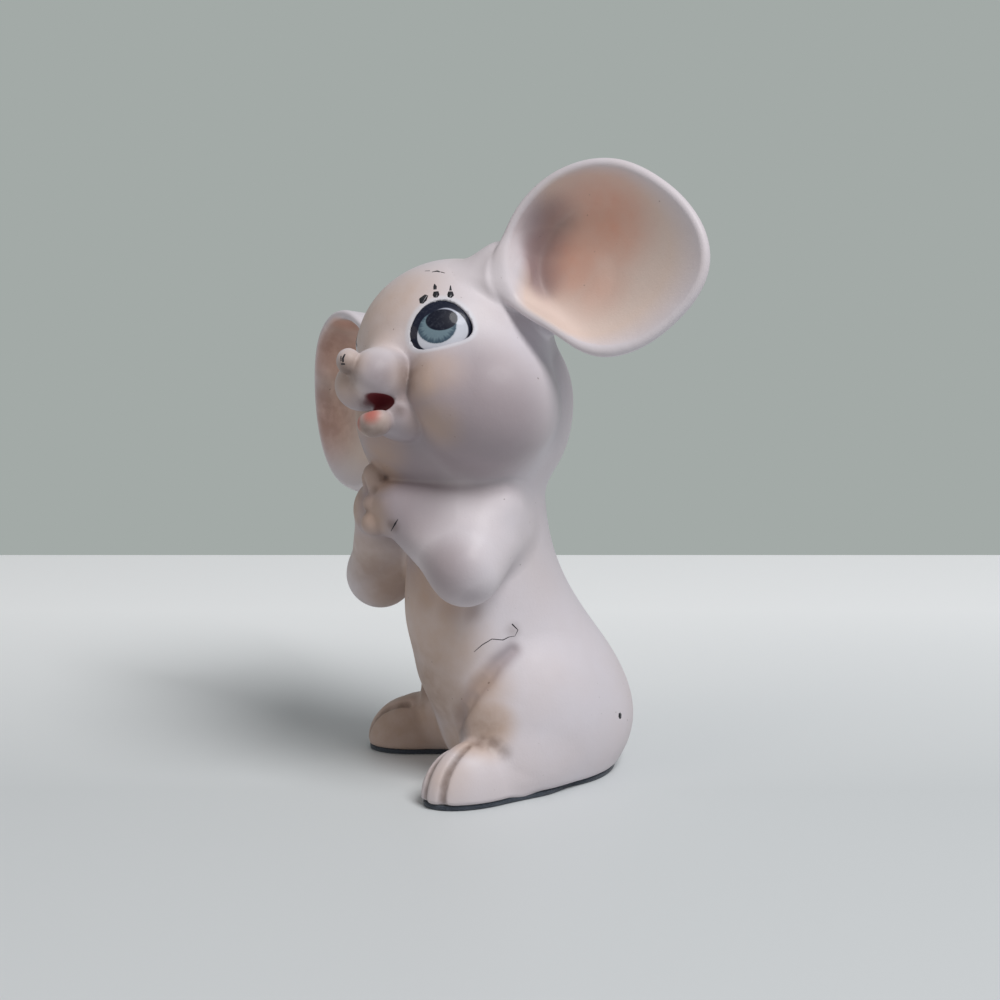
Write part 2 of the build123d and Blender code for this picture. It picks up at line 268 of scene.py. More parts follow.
# The camera stands where the photograph was taken
CAMERA_AZIMUTH = math.radians(70.0)
CAMERA_PITCH = math.radians(10.5)
CAMERA_PLACE = np.array([385.63, -144.17, 140.0])
FOCAL_PIXELS = 1800.0
PICTURE_PIXELS = 1000.0
SENSOR_WIDTH = 36.0
NEAREST_SEEN = 0.01
RAY_START = 300.0
RAY_STEPS = 90
RAY_CAUTION = 0.7
LEVEL_FORWARD = np.array([-math.sin(CAMERA_AZIMUTH), math.cos(CAMERA_AZIMUTH), 0.0])
PLUMB = np.array([0.0, 0.0, 1.0])
CAMERA_RIGHT = np.array([math.cos(CAMERA_AZIMUTH), math.sin(CAMERA_AZIMUTH), 0.0])
CAMERA_FORWARD = math.cos(CAMERA_PITCH) * LEVEL_FORWARD - math.sin(CAMERA_PITCH) * PLUMB
CAMERA_UP = math.sin(CAMERA_PITCH) * LEVEL_FORWARD + math.cos(CAMERA_PITCH) * PLUMB


def length(v):
    """The lengths of rows"""
    return np.sqrt((v * v).sum(-1))


def unit(v):
    """Rows made one long"""
    return v / np.maximum(length(v), TINY)[:, None]


def join(a, b, blend):
    """Two forms grown together, with a fillet about as wide as blend"""
    share = np.maximum(blend - np.abs(a - b), 0.0) / blend
    return np.minimum(a, b) - share * share * blend / 4


def carve(a, b, blend):
    """Form a with form b taken away and the edge eased"""
    return -join(-a, b, blend)


def ellipsoid(q, half_sizes):
    """About the distance to an ellipsoid round the origin"""
    half_sizes = np.asarray(half_sizes)
    k0 = length(q / half_sizes)
    k1 = length(q / (half_sizes * half_sizes))
    return k0 * (k0 - 1.0) / np.maximum(k1, SMALL)


def ball(p, place, radius):
    """The distance to a ball"""
    return length(p - place) - radius


def limb(p, start, start_radius, end, end_radius):
    """A round-ended limb between two points"""
    run = np.subtract(end, start)
    along = np.clip((p - start) @ run / (run @ run), 0.0, 1.0)
    return length(p - start - along[:, None] * run) - (start_radius + (end_radius - start_radius) * along)


def smooth_curve(knots, values):
    """A natural cubic spline through the values, as a function"""
    knots, values = np.asarray(knots, float), np.asarray(values, float)
    steps = np.diff(knots)
    slopes = np.diff(values, axis=0) / steps[:, None]
    count = len(knots)
    matrix = np.eye(count)
    right = np.zeros_like(values)
    for i in range(1, count - 1):
        matrix[i, i - 1 : i + 2] = steps[i - 1], 2 * (steps[i - 1] + steps[i]), steps[i]
        right[i] = 6 * (slopes[i] - slopes[i - 1])
    bends = np.linalg.solve(matrix, right)

    def at(x):
        x = np.clip(x, knots[0], knots[-1])
        i = np.clip(np.searchsorted(knots, x, side="right") - 1, 0, count - 2)
        before, after = (x - knots[i])[:, None], (knots[i + 1] - x)[:, None]
        step = steps[i][:, None]
        cubic = (bends[i] * after**3 + bends[i + 1] * before**3) / (6 * step)
        low = values[i] / step - bends[i] * step / 6
        high = values[i + 1] / step - bends[i + 1] * step / 6
        return cubic + low * after + high * before

    return at


def round_curve(values):
    """Values evenly spaced round a turn, joined smoothly, as a function of the angle"""
    reach = 3
    values = np.asarray(values, float)
    count = len(values)
    knots = np.arange(-reach, count + reach) * 2 * math.pi / count
    wrapped = values[np.arange(-reach, count + reach) % count]
    curve = smooth_curve(knots, wrapped[:, None])
    return lambda angle: curve(np.mod(angle, 2 * math.pi))[:, 0]


torso_at = smooth_curve([s[0] for s in TORSO_SECTIONS], [s[1:] for s in TORSO_SECTIONS])
ear_outline_at = round_curve(EAR_OUTLINE)
eye_outline_at = round_curve(EYE_OUTLINE)
liner_width_at = round_curve(LINER_WIDTH)


def torso(p):
    """The field of the torso, from its sections"""
    sections = torso_at(p[:, 2])
    flat = np.stack([p[:, 0], p[:, 1] - sections[:, 0]], -1)
    side = ellipsoid(flat, sections[:, 1:])
    top = p[:, 2] - TORSO_SECTIONS[-1][0] - TORSO_TOP_REACH
    return carve(side, -top, TORSO_TOP_EASE)


def thigh_crease(own):
    """The groove between the belly and a thigh"""
    return np.min([limb(own, *start, *end) for start, end in zip(THIGH_CREASE, THIGH_CREASE[1:])], axis=0)


def body_clay(p):
    """The field of the body"""
    form = torso(p)
    for side in SIDES.values():
        own = p * (side, 1, 1)
        for place, half_sizes in ((HAUNCH_PLACE, HAUNCH_SIZE), (HEEL_PLACE, HEEL_SIZE)):
            form = join(form, ellipsoid(own - place, half_sizes), HAUNCH_FILLET)
        form = carve(form, thigh_crease(own), THIGH_CREASE_EASE)
    return carve(form, p[:, 2] - PAD_TOP, BASE_EASE)


def in_head(p):
    """Points as forward, left and up of the head's centre"""
    return (p - HEAD_CENTRE) @ HEAD_AXES


def in_eye(q, side):
    """Head points as out, sideways and up of an eye's middle"""
    return (q * (1, side, 1) - EYE_CENTRE) @ EYE_AXES


def beyond_eye(e):
    """How far a place lies outside the outline of the painted eye"""
    y, z = e[:, 1] - EYE_MIDDLE[0], e[:, 2] - EYE_MIDDLE[1]
    return np.hypot(y, z) - eye_outline_at(np.arctan2(z, y))


def eye_opening(e):
    """The space in front of the painted eye"""
    front = np.maximum(beyond_eye(e), -ellipsoid(e, EYE_SIZE - EYE_BED_INSET))
    return np.maximum(front, -EYE_BED_DEPTH - e[:, 0])


def grown(q, forms):
    """Ellipsoids grown together one after the other"""
    form = np.full(len(q), FAR_AWAY)
    for place, half_sizes, blend in forms:
        form = join(form, ellipsoid(q - place, half_sizes), blend)
    return form


def head_clay(p):
    """The field of the head"""
    q = in_head(p)
    snout_blend = SNOUT_FILLET + SNOUT_TOP_FILLET * soft_step(q[:, 2], *SNOUT_TOP_RANGE)
    form = join(grown(q, SKULL_FORMS), grown(q, SNOUT_FORMS), snout_blend)
    form = join(form, ellipsoid(p - NECK_TOP, NAPE_SIZE), NAPE_FILLET)
    for side in SIDES.values():
        e = in_eye(q, side)
        form = join(form, ellipsoid(e, EYE_SIZE - EYE_BULGE_INSET), LID_FILLET)
        near = length(e) < EYE_NEARBY
        form[near] = carve(form[near], eye_opening(e[near]), LID_EDGE_EASE)
    return carve(form, mouth_space(q), LIP_EASE)


def mouth_space(q):
    """The hollow between the lips"""
    return ellipsoid(q - MOUTH_PLACE, MOUTH_SIZE)


def soft_step(value, low, high):
    """0 below low, 1 above high and smooth between"""
    share = np.clip((value - low) / (high - low), 0.0, 1.0)
    return share * share * (3.0 - 2.0 * share)


def ear_table():
    """Depth of an ear's wall and its slopes on a grid of places across and along it

    The wall runs through ovals that shrink from the rim towards the valley near the head."""
    line = np.arange(-EAR_TABLE_REACH, EAR_TABLE_REACH + EAR_TABLE_STEP, EAR_TABLE_STEP)
    x, y = (g.ravel() for g in np.meshgrid(line, line, indexing="ij"))
    low, high = np.zeros(len(x)), np.full(len(x), EAR_HIGHEST_SHARE)
    for _ in range(EAR_BISECTIONS):
        share = (low + high) / 2
        rest = 1.0 - share
        across = x / (share * EAR_RADII[0] + rest * EAR_VALLEY_RADII[0])
        centre = rest * (EAR_VALLEY_PLACE + EAR_VALLEY_SLANT * x)
        along = (y - centre) / (share * EAR_RADII[1] + rest * EAR_VALLEY_RADII[1])
        angle = np.arctan2(along * EAR_RADII[1], across * EAR_RADII[0])
        oval = 1.0 / np.hypot(np.cos(angle) / EAR_RADII[0], np.sin(angle) / EAR_RADII[1])
        edge = 1.0 + np.minimum(share, 1.0) * ((ear_outline_at(angle) - EAR_WALL / 2) / oval - 1.0)
        within = np.hypot(across, along) < edge
        high = np.where(within, share, high)
        low = np.where(within, low, share)
    depth = (EAR_DEPTH * (1.0 - high**EAR_FLOOR_CURVE)).reshape(len(line), len(line))
    for _ in range(EAR_SOFT_ROUNDS):
        for axis in (0, 1):
            depth = (np.roll(depth, 1, axis) + 2 * depth + np.roll(depth, -1, axis)) / 4
    return np.stack([depth, *np.gradient(depth, EAR_TABLE_STEP)], -1)


ear_depths = ear_table()


def spline_shares(t):
    """Shares of four neighbours in a smooth curve between the middle two"""
    return (1 - t) ** 3 / 6, (3 * t**3 - 6 * t**2 + 4) / 6, (3 * t**2 - 3 * t**3 + 3 * t + 1) / 6, t**3 / 6


def ear_floor(x, y):
    """How deep an ear's wall lies at a place across it, and how that changes along x and y"""
    last = len(ear_depths) - 2.001
    column = np.clip((x + EAR_TABLE_REACH) / EAR_TABLE_STEP, 1.0, last)
    row = np.clip((y + EAR_TABLE_REACH) / EAR_TABLE_STEP, 1.0, last)
    i, j = column.astype(int), row.astype(int)
    total = np.zeros((len(x), 3))
    for a, column_share in enumerate(spline_shares(column - i)):
        for b, row_share in enumerate(spline_shares(row - j)):
            total += (column_share * row_share)[:, None] * ear_depths[i + a - 1, j + b - 1]
    return total.T


def in_ear(p, side):
    """Points across, along and in front of an ear's middle"""
    return (in_head(p) * (1, side, 1) - EAR_MIDDLE) @ EAR_AXES


def ear_clay(p, name):
    """The field of an ear"""
    side = SIDES[name]
    own = in_ear(p, side)
    x, y, z = own.T
    depth, fall_x, fall_y = ear_floor(x, y)
    curl_start, curl_end = EAR_CURL_RANGE
    share = np.clip((x - curl_start) / (curl_end - curl_start), 0.0, 1.0)
    curl = EAR_CURL * share * share
    curl_rate = 2 * EAR_CURL * share / (curl_end - curl_start)
    radius = np.hypot(x, y)
    outwards = ((curl_rate - fall_x) * x - fall_y * y) / np.maximum(radius, 1.0)
    above = (z + depth - curl) / np.sqrt(1.0 + (curl_rate - fall_x) ** 2 + fall_y**2)
    outside = radius - ear_outline_at(np.arctan2(y, x)) + EAR_WALL / 2
    beyond = np.maximum((outside + outwards * (z - curl)) / np.hypot(1.0, outwards), 0.0)
    plate = np.hypot(beyond, above) - EAR_WALL / 2
    q = in_head(p) * (1, side, 1)
    root = ellipsoid((q - EAR_ROOT) @ EAR_FACING, EAR_ROOT_SIZE)
    root = carve(root, -above, EAR_ROOT_EASE)
    bridge = ellipsoid(own - EAR_BRIDGE_PLACE, EAR_BRIDGE_SIZE)
    return join(join(plate, root, EAR_FILLET), bridge, EAR_FILLET)


def arm_clay(p, name):
    """The field of an arm"""
    arm = ARMS[name]
    hand, hand_size = arm["hand"]
    form = limb(p, *arm["shoulder"], *arm["elbow"])
    form = join(form, limb(p, *arm["elbow"], *arm["wrist"]), ELBOW_FILLET)
    form = join(form, ball(p, *arm["fold"]), SLEEVE_FILLET)
    form = join(form, limb(p, *arm["sleeve"]), SLEEVE_FILLET)
    form = join(form, ellipsoid(p - hand, hand_size), HAND_FILLET)
    for knuckle in arm["knuckles"]:
        form = join(form, ball(p, *knuckle), KNUCKLE_FILLET)
    return join(form, limb(p, *arm["finger"]), FINGER_FILLET)


def in_foot(p, side):
    """Points of a foot as across, fore and aft and up of its middle"""
    return (p * (side, 1, 1) - FOOT_PLACE) @ turned("Z", FOOT_TURN)


def toe_groove(own, start):
    """A groove that runs over a foot in an upright plane"""
    turn = math.radians(TOE_GROOVE_TURN)
    across = (own[:, 0] - start[0]) * math.cos(turn) + (own[:, 1] - start[1]) * math.sin(turn)
    behind = np.maximum(own[:, 1] - start[1], 0.0)
    return np.hypot(np.hypot(across, ellipsoid(own, FOOT_SIZE)), behind) - TOE_GROOVE_RADIUS


def foot_clay(p, name):
    """The field of a foot"""
    own = in_foot(p, SIDES[name])
    form = ellipsoid(own, FOOT_SIZE)
    for start in TOE_GROOVE_STARTS:
        form = carve(form, toe_groove(own, start), TOE_GROOVE_EASE)
    return carve(form, p[:, 2] - PAD_TOP, SOLE_EASE)


CLAYS = {"body": body_clay, "head": head_clay, "ear": ear_clay, "arm": arm_clay, "foot": foot_clay}


def join_blend(node, p):
    """How wide the fillet is where a node grows out of what it stands on"""
    kind, _, name = node.partition("_")
    if kind == "ear":
        least, more, span = EAR_JOIN
        return least + more * soft_step(in_ear(p, SIDES[name])[:, 0], *span)
    if kind == "arm":
        least, more, reach = ARM_JOIN
        return least + more * closeness(p, ARMS[name]["shoulder"][0], reach)
    if kind == "foot":
        least, more, aft, down = FOOT_JOIN
        return least + more * soft_step(p[:, 1], *aft) * soft_step(-p[:, 2], *down)
    return NODE_FILLET


def roomy(box, margin):
    """The corners of a box in millimetres, with room round it"""
    low, high = np.array(box) / MM
    return low - margin, high + margin


node_boxes = {node: roomy(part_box(node), BOX_MARGIN) for node in NODES}


def clay_of(node, p):
    """The field of one node, worked out only near it"""
    low, high = node_boxes[node]
    away = length(np.maximum(np.maximum(low - p, p - high), 0.0))
    form = away + BOX_MARGIN
    near = away <= 0.0
    if near.any():
        kind, *name = node.split("_")
        form[near] = CLAYS[kind](p[near], *name)
    return form


def figure(p):
    """The whole figurine's field"""
    form = clay_of("body", p)
    for node in NODES[1:]:
        form = join(form, clay_of(node, p), join_blend(node, p))
    return form


def normals_of(field, p):
    """Directions out of the clay, from how the field changes"""
    slopes = [field(p + SLOPE_STEP * axis) - field(p - SLOPE_STEP * axis) for axis in np.eye(3)]
    return unit(np.stack(slopes, -1))


def settled(field, p, rounds=3):
    """Points moved on to the surface of a field"""
    for _ in range(rounds):
        value = field(p)
        slope = np.stack([field(p + SLOPE_STEP * axis) - value for axis in np.eye(3)], -1) / SLOPE_STEP
        steep = np.maximum((slope * slope).sum(-1), LEAST_STEEPNESS)
        move = -slope * (value / steep)[:, None]
        p = p + move * np.minimum(1.0, VOXEL / np.maximum(length(move), TINY))[:, None]
    return p


def lattice(*counts):
    """Whole-number places of a grid, one to a row"""
    return np.stack(np.meshgrid(*(np.arange(n) for n in counts), indexing="ij"), -1).reshape(-1, 3)


def sampled(field, low, high, voxel):
    """The field on a grid, worked out in full only near its surface"""
    blocks = np.ceil((high - low) / (voxel * BLOCK)).astype(int)
    corner = lattice(*blocks)
    inner = lattice(BLOCK, BLOCK, BLOCK)
    rough = field(low + (corner * BLOCK + (BLOCK - 1) / 2) * voxel)
    band = voxel * BLOCK * math.sqrt(3) * BAND_SHARE + voxel
    values = np.repeat(rough[:, None], BLOCK**3, 1)
    active = np.nonzero(np.abs(rough) < band)[0]
    at_once = 4000
    for first in range(0, len(active), at_once):
        some = active[first : first + at_once]
        points = low + (corner[some][:, None] * BLOCK + inner[None]) * voxel
        values[some] = field(points.reshape(-1, 3)).reshape(len(some), -1)
    grid = values.reshape(*blocks, BLOCK, BLOCK, BLOCK).transpose(0, 3, 1, 4, 2, 5)
    return grid.reshape(blocks * BLOCK)


def skinned(field, low, high, voxel):
    """Vertices and quads of a field's surface"""
    grid = sampled(field, low, high, voxel)
    inside = grid < 0
    size = np.array(grid.shape)
    corners = lattice(2, 2, 2)
    steps = np.eye(3, dtype=int)

    def shifted(array, offset):
        return array[tuple(slice(o, o + n - 1) for o, n in zip(offset, size))]

    count = sum(shifted(inside, c).astype(np.int8) for c in corners)
    cells = np.argwhere((count > 0) & (count < len(corners)))
    number = np.full(size - 1, -1)
    number[tuple(cells.T)] = np.arange(len(cells))
    total = np.zeros((len(cells), 3))
    crossings = np.zeros(len(cells))
    for start in corners:
        for axis in np.nonzero(start == 0)[0]:
            end = start + steps[axis]
            a, b = grid[tuple((cells + start).T)], grid[tuple((cells + end).T)]
            cross = (a < 0) != (b < 0)
            share = np.where(cross, a / np.where(cross, a - b, 1.0), 0.0)
            place = start + share[:, None] * (end - start)
            total += place * cross[:, None]
            crossings += cross
    vertices = low + (cells + total / crossings[:, None]) * voxel
    quads = []
    for axis in range(3):
        step, side_a, side_b = np.roll(steps, -axis, 0)
        here = inside[tuple(slice(0, n - s) for n, s in zip(size, step))]
        there = inside[tuple(slice(s, n) for n, s in zip(size, step))]
        edges = np.argwhere(here != there)
        edges = edges[((edges - side_a - side_b) >= 0).all(1) & (edges < size - 1).all(1)]
        ring = [edges - side_a - side_b, edges - side_b, edges, edges - side_a]
        quad = np.stack([number[tuple(r.T)] for r in ring], -1)
        flip = ~inside[tuple(edges.T)]
        quad[flip] = quad[flip, ::-1]
        quads.append(quad)
    return vertices, np.concatenate(quads)


def edges_of(faces):
    """The edges of faces, each as its two vertices"""
    return np.stack([faces, np.roll(faces, -1, 1)], -1).reshape(-1, 2)


def face_pairs(faces):
    """Pairs of faces that share an edge"""
    edges = np.sort(edges_of(faces), 1)
    owner = np.repeat(np.arange(len(faces)), faces.shape[1])
    order = np.lexsort((edges[:, 1], edges[:, 0]))
    edges, owner = edges[order], owner[order]
    same = (edges[1:] == edges[:-1]).all(1)
    return np.stack([owner[:-1][same], owner[1:][same]], -1)


def groups(count, links):
    """A number for each of the items, the same for all that are linked"""
    group = np.arange(count)
    while True:
        lowest = group.copy()
        np.minimum.at(lowest, links[:, 0], group[links[:, 1]])
        np.minimum.at(lowest, links[:, 1], group[links[:, 0]])
        lowest = lowest[lowest]
        if (lowest == group).all():
            return group
        group = lowest


def patches(faces, labels):
    """Labels with each small stray patch given to the patch round it"""
    pairs = face_pairs(faces)
    for _ in range(PATCH_ROUNDS):
        group = groups(len(faces), pairs[labels[pairs[:, 0]] == labels[pairs[:, 1]]])
        names, place, sizes = np.unique(group, return_inverse=True, return_counts=True)
        best = {label: sizes[labels[names] == label].max() for label in np.unique(labels)}
        stray = np.array([sizes[i] < best[labels[names[i]]] for i in range(len(names))])[place]
        if not stray.any():
            break
        edge = pairs[stray[pairs[:, 0]] != stray[pairs[:, 1]]]
        out, into = np.where(stray[edge[:, :1]], edge, edge[:, ::-1]).T
        labels = labels.copy()
        labels[out] = labels[into]
    return labels


def linked(name, data):
    """A new object in the scene"""
    made = bpy.data.objects.new(name, data)
    bpy.context.scene.collection.objects.link(made)
    return made


def new_object(name, vertices, faces):
    """A mesh object in metres from millimetre vertices and lists of faces"""
    mesh = bpy.data.meshes.new(name)
    mesh.from_pydata((np.asarray(vertices) * MM).tolist(), [], [list(f) for f in faces])
    mesh.validate()
    mesh.shade_smooth()
    return linked(name, mesh)


def closed_patch(vertices, normals, faces):
    """One patch closed by a lip that runs inwards to a point, and the vertices that it uses"""
    used, local = np.unique(faces, return_inverse=True)
    faces = local.reshape(faces.shape)
    vertices, normals = vertices[used], normals[used]
    edges = edges_of(faces)
    _, first, uses = np.unique(np.sort(edges, 1), axis=0, return_index=True, return_counts=True)
    rim = edges[first[uses == 1]]
    rim_vertices, rim_local = np.unique(rim, return_inverse=True)
    rim_local = rim_local.reshape(rim.shape)
    lip = vertices[rim_vertices] - normals[rim_vertices] * LIP_DEPTH
    loops, loop_of = np.unique(groups(len(rim_vertices), rim_local), return_inverse=True)
    hubs = np.array([lip[loop_of == i].mean(0) for i in range(len(loops))]).reshape(-1, 3)
    a, b = rim.T
    a_lip, b_lip = len(vertices) + rim_local.T
    hub = len(vertices) + len(lip) + loop_of[rim_local[:, 0]]
    walls = np.stack([b, a, a_lip, b_lip], -1)
    fans = np.stack([b_lip, a_lip, hub], -1)
    every = np.concatenate([vertices, lip, hubs])
    every_normal = np.concatenate([normals, normals[rim_vertices], np.tile(PLUMB, (len(hubs), 1))])
    return every, every_normal, faces.tolist() + walls.tolist() + fans.tolist(), used


def seen_at(pixels):
    """Surface points that show at these places of the 1000 x 1000 picture"""
    right, down = (np.array(pixels).T - PICTURE_PIXELS / 2)[:, :, None]
    rays = unit(CAMERA_FORWARD * FOCAL_PIXELS + right * CAMERA_RIGHT - down * CAMERA_UP)
    travel = np.full(len(pixels), RAY_START)
    for _ in range(RAY_STEPS):
        travel += figure(CAMERA_PLACE + travel[:, None] * rays) * RAY_CAUTION
    return CAMERA_PLACE + travel[:, None] * rays


def mirrored(p):
    """Points of the head carried to its other side and back on to the clay"""
    return settled(figure, (in_head(p) * (1, -1, 1)) @ HEAD_AXES.T + HEAD_CENTRE, MIRROR_ROUNDS)


def closeness(p, middle, radius):
    """1 at a place, falling softly to 0 at the radius"""
    return soft_step(1.0 - length(p - middle) / radius, 0.0, 1.0)


# Paint marks: place in the picture, radius and strength. The first group is on both sides of the
# figurine and the second on the side that shows.
# Tan airbrush on the face, with painted shade on the nose, the lower lip and the chin
HEAD_BLUSH_AND_SHADE = (
    (
        (392, 300, 17.0, 0.9), (372, 335, 12.0, 0.8), (420, 377, 9.0, 1.0), (436, 370, 9.0, 0.6),
        (374, 424, 7.0, 1.0), (380, 452, 9.0, 0.8),
    ),
    ((345, 380, 9.0, 0.9), (350, 362, 6.0, 0.9)),
)
# Tan airbrush on the hands, thighs and feet, with painted shade on the belly, the thigh fronts, the far foot
# and the far arm
BODY_BLUSH_AND_SHADE = (
    (
        (484, 690, 10.0, 0.9), (478, 715, 10.0, 1.3), (484, 738, 8.0, 1.3), (486, 724, 9.0, 2.0),
        (440, 775, 10.0, 0.5), (468, 746, 6.0, 1.2), (377, 475, 8.0, 1.2), (372, 515, 8.0, 1.2),
        (425, 610, 18.0, 1.4), (432, 645, 18.0, 1.5), (436, 690, 16.0, 1.5), (438, 730, 14.0, 1.4),
    ),
    ((395, 725, 22.0, 1.8), (368, 560, 16.0, 0.9)),
)
# Painted shade under the cheeks, partly a real mauve airbrush, and in the recess under the ears' lower rims
HEAD_SHADE = (
    (
        (464, 428, 27.0, 2.3), (428, 445, 14.0, 1.3), (480, 468, 12.0, 1.2), (380, 376, 9.0, 0.9),
        (570, 382, 12.0, 0.35), (420, 395, 8.0, 0.7),
    ),
    (),
)
# Painted shade on the steep front wall inside each ear's hollow
EAR_WALL_SHADE = (
    ((536, 270, 10.0, 1.5), (541, 245, 10.0, 1.5), (544, 218, 10.0, 1.1)),
    (),
)
# Darker brown on the far ear, partly painted shade on its side turned from the lamps
FAR_EAR_SOIL_AND_SHADE = (
    (),
    ((332, 345, 16.0, 0.4), (328, 410, 20.0, 0.5)),
)
# Painted shade under the arms, on the belly between them and on the far side
BODY_SHADE = (
    (
        (442, 572, 12.5, 1.1), (468, 595, 7.0, 0.6), (425, 592, 7.0, 1.0), (450, 606, 6.0, 1.0),
        (470, 612, 4.0, 0.7),
    ),
    ((418, 568, 11.0, 1.4), (385, 575, 12.0, 0.8), (405, 735, 14.0, 0.9)),
)
# Brown marks: a stain by the crack and a pinhole, and painted shade in the hand's creases, round the mouth
# and snout, on the belly and thigh fronts, above the feet and on the far foot and arm
SOIL_AND_SHADE_MARKS = (
    (
        (480, 742, 3.4, 0.8), (493, 744, 3.4, 0.8), (504, 752, 2.8, 0.7), (399, 410, 2.6, 0.7),
        (400, 398, 2.2, 0.5), (368, 432, 6.0, 0.7), (380, 372, 6.0, 0.25), (462, 730, 6.0, 0.5),
        (484, 727, 7.0, 0.35), (430, 690, 16.0, 0.3), (410, 372, 7.0, 0.5),
    ),
    (
        (393, 526, 2.4, 0.7), (513, 630, 3.0, 0.35), (387, 478, 1.2, 0.8), (366, 510, 1.6, 0.7),
        (375, 490, 1.6, 0.7), (348, 372, 6.0, 0.8), (385, 775, 14.0, 0.4), (395, 725, 14.0, 0.25),
        (370, 570, 16.0, 0.25),
    ),
)
# Painted highlight along the tops of the forearms, under the chin
ARM_TOP_PAINTED_HIGHLIGHT = (
    (
        (405, 497, 6.0, 0.9), (425, 497, 8.0, 1.2), (445, 498, 8.0, 1.2), (465, 498, 8.0, 1.2),
        (485, 498, 8.0, 0.9),
    ),
    (),
)
LIPS = (
    ((371, 414, 3.0, 1.3), (379, 398, 2.0, 0.7)),
    (),
)
EAR_PEACH = (
    ((611, 222, 17.0, 1.0), (590, 240, 14.0, 0.8), (575, 258, 13.0, 1.0), (600, 282, 12.0, 0.5)),
    ((345, 324, 8.0, 0.9), (332, 350, 16.0, 0.8), (328, 420, 16.0, 0.8)),
)


def spots(p, marks, mirror):
    """Shares of a colour put on in soft spots; mirror carries a point to the other side"""
    total = np.zeros(len(p))
    on_both, on_one = marks
    middles = seen_at([mark[:2] for mark in on_both + on_one])[:, None]
    for number, (middle, (_, _, radius, strength)) in enumerate(zip(middles, on_both + on_one)):
        for place in [middle, mirror(middle)] if number < len(on_both) else [middle]:
            total = np.maximum(total, strength * closeness(p, place, radius))
    return total / np.cbrt(1.0 + total**3)


def across(p):
    """Points of the body on its other side"""
    return p * (-1, 1, 1)


def ear_shares(p):
    """How deep in an ear's hollow points lie, up to 1, and whether they are inside an ear"""
    share, inside = np.zeros((2, len(p)))
    for side in SIDES.values():
        x, y, z = in_ear(p, side).T
        depth = ear_floor(x, y)[0]
        within = soft_step(ear_outline_at(np.arctan2(y, x)) - np.hypot(x, y), 0.0, EAR_PAINT_EDGE)
        near = (np.abs(z + depth) < 3 * EAR_WALL) | (y < EAR_VALLEY_PLACE)
        inside = np.maximum(inside, within * near * soft_step(z + depth, -EAR_PAINT_SKIN, EAR_PAINT_SKIN))
        front = (within > 0) & (z > -depth) & (z < EAR_WALL)
        past_wall = soft_step(y, *EAR_SHADE_RANGE)
        share = np.where(front, past_wall * np.maximum(depth / EAR_DEPTH, 0.0), share)
    return share, inside


vertices, quads = skinned(figure, *roomy((cad_low, cad_high), SKIN_MARGIN), VOXEL)
vertices = settled(figure, vertices)
normals = normals_of(figure, vertices)

middles = vertices[quads].mean(1)
nearness = np.stack([clay_of(node, middles) for node in NODES])
labels = patches(quads, nearness.argmin(0))

from_ear_rim, in_ears = ear_shares(vertices)
shade = np.maximum(spots(vertices, HEAD_SHADE, mirrored), spots(vertices, BODY_SHADE, across))
shade = np.maximum(shade, in_ears * spots(vertices, EAR_WALL_SHADE, mirrored))
soil = spots(vertices, SOIL_AND_SHADE_MARKS, across)
soil = np.maximum(soil, in_ears * spots(vertices, FAR_EAR_SOIL_AND_SHADE, mirrored))
lid = np.full(len(vertices), FAR_AWAY)
for side in SIDES.values():
    from_crease = thigh_crease(vertices * (side, 1, 1))
    crease_shade = THIGH_CREASE_SHADE * soft_step(-from_crease, *THIGH_CREASE_SHADE_RANGE)
    shade = np.maximum(shade, crease_shade)
    e = in_eye(in_head(vertices), side)
    lid = np.where(e[:, 0] > -LID_PAINT_DEPTH, np.minimum(lid, beyond_eye(e)), lid)
    # Darker along the toe grooves
    for start in TOE_GROOVE_STARTS:
        share = TOE_GROOVE_DARKENING[0] - toe_groove(in_foot(vertices, side), start) / TOE_GROOVE_DARKENING[1]
        soil = np.maximum(soil, np.clip(share, 0.0, 1.0))
surface_values = {
    "blush": np.maximum(spots(vertices, HEAD_BLUSH_AND_SHADE, mirrored), spots(vertices, BODY_BLUSH_AND_SHADE, across)),
    "shade": shade,
    "peach": in_ears * spots(vertices, EAR_PEACH, mirrored),
    "lips": spots(vertices, LIPS, mirrored),
    "hollow": from_ear_rim,
    "pale": spots(vertices, ARM_TOP_PAINTED_HIGHLIGHT, across),
    "soil": soil,
    "mouth": mouth_space(in_head(vertices)),
    "lid": lid,
}


def nodes_of(material):
    """A function that adds a node and its links to a material; i0 is the first input"""
    material.use_nodes = True
    tree = material.node_tree
    tree.nodes.clear()

    def add(kind, settings=None, **inputs):
        node = tree.nodes.new("ShaderNode" + kind)
        for key, value in (settings or {}).items():
            setattr(node, key, value)
        for key, value in inputs.items():
            socket = node.inputs[int(key[1:]) if key[1:].isdigit() else key]
            if isinstance(value, bpy.types.NodeSocket):
                tree.links.new(value, socket)
            else:
                socket.default_value = value
        return node

    return add


def linear(red, green, blue):
    """A colour as it is seen on a screen, from 0 to 255, for a shader"""
    shares = [c / 255 for c in (red, green, blue)]
    return tuple(s / 12.92 if s <= 0.04045 else ((s + 0.055) / 1.055) ** 2.4 for s in shares) + (1.0,)


def new_material(name):
    """An empty material, its function that adds nodes, and the place on the object"""
    material = bpy.data.materials.new(name)
    add = nodes_of(material)
    return material, add, add("TexCoord").outputs["Object"]


def surfaced(material, add, colour, roughness, others):
    """The material with its main shader in place"""
    shader = add("BsdfPrincipled", **{"Base Color": colour, "Roughness": roughness, **others})
    add("OutputMaterial", Surface=shader.outputs[0])
    return material


def blend_colour(add, share, first, second):
    """The first colour with the second laid over it by a share"""
    return add("Mix", {"data_type": "RGBA"}, i0=share, i6=first, i7=second).outputs[2]


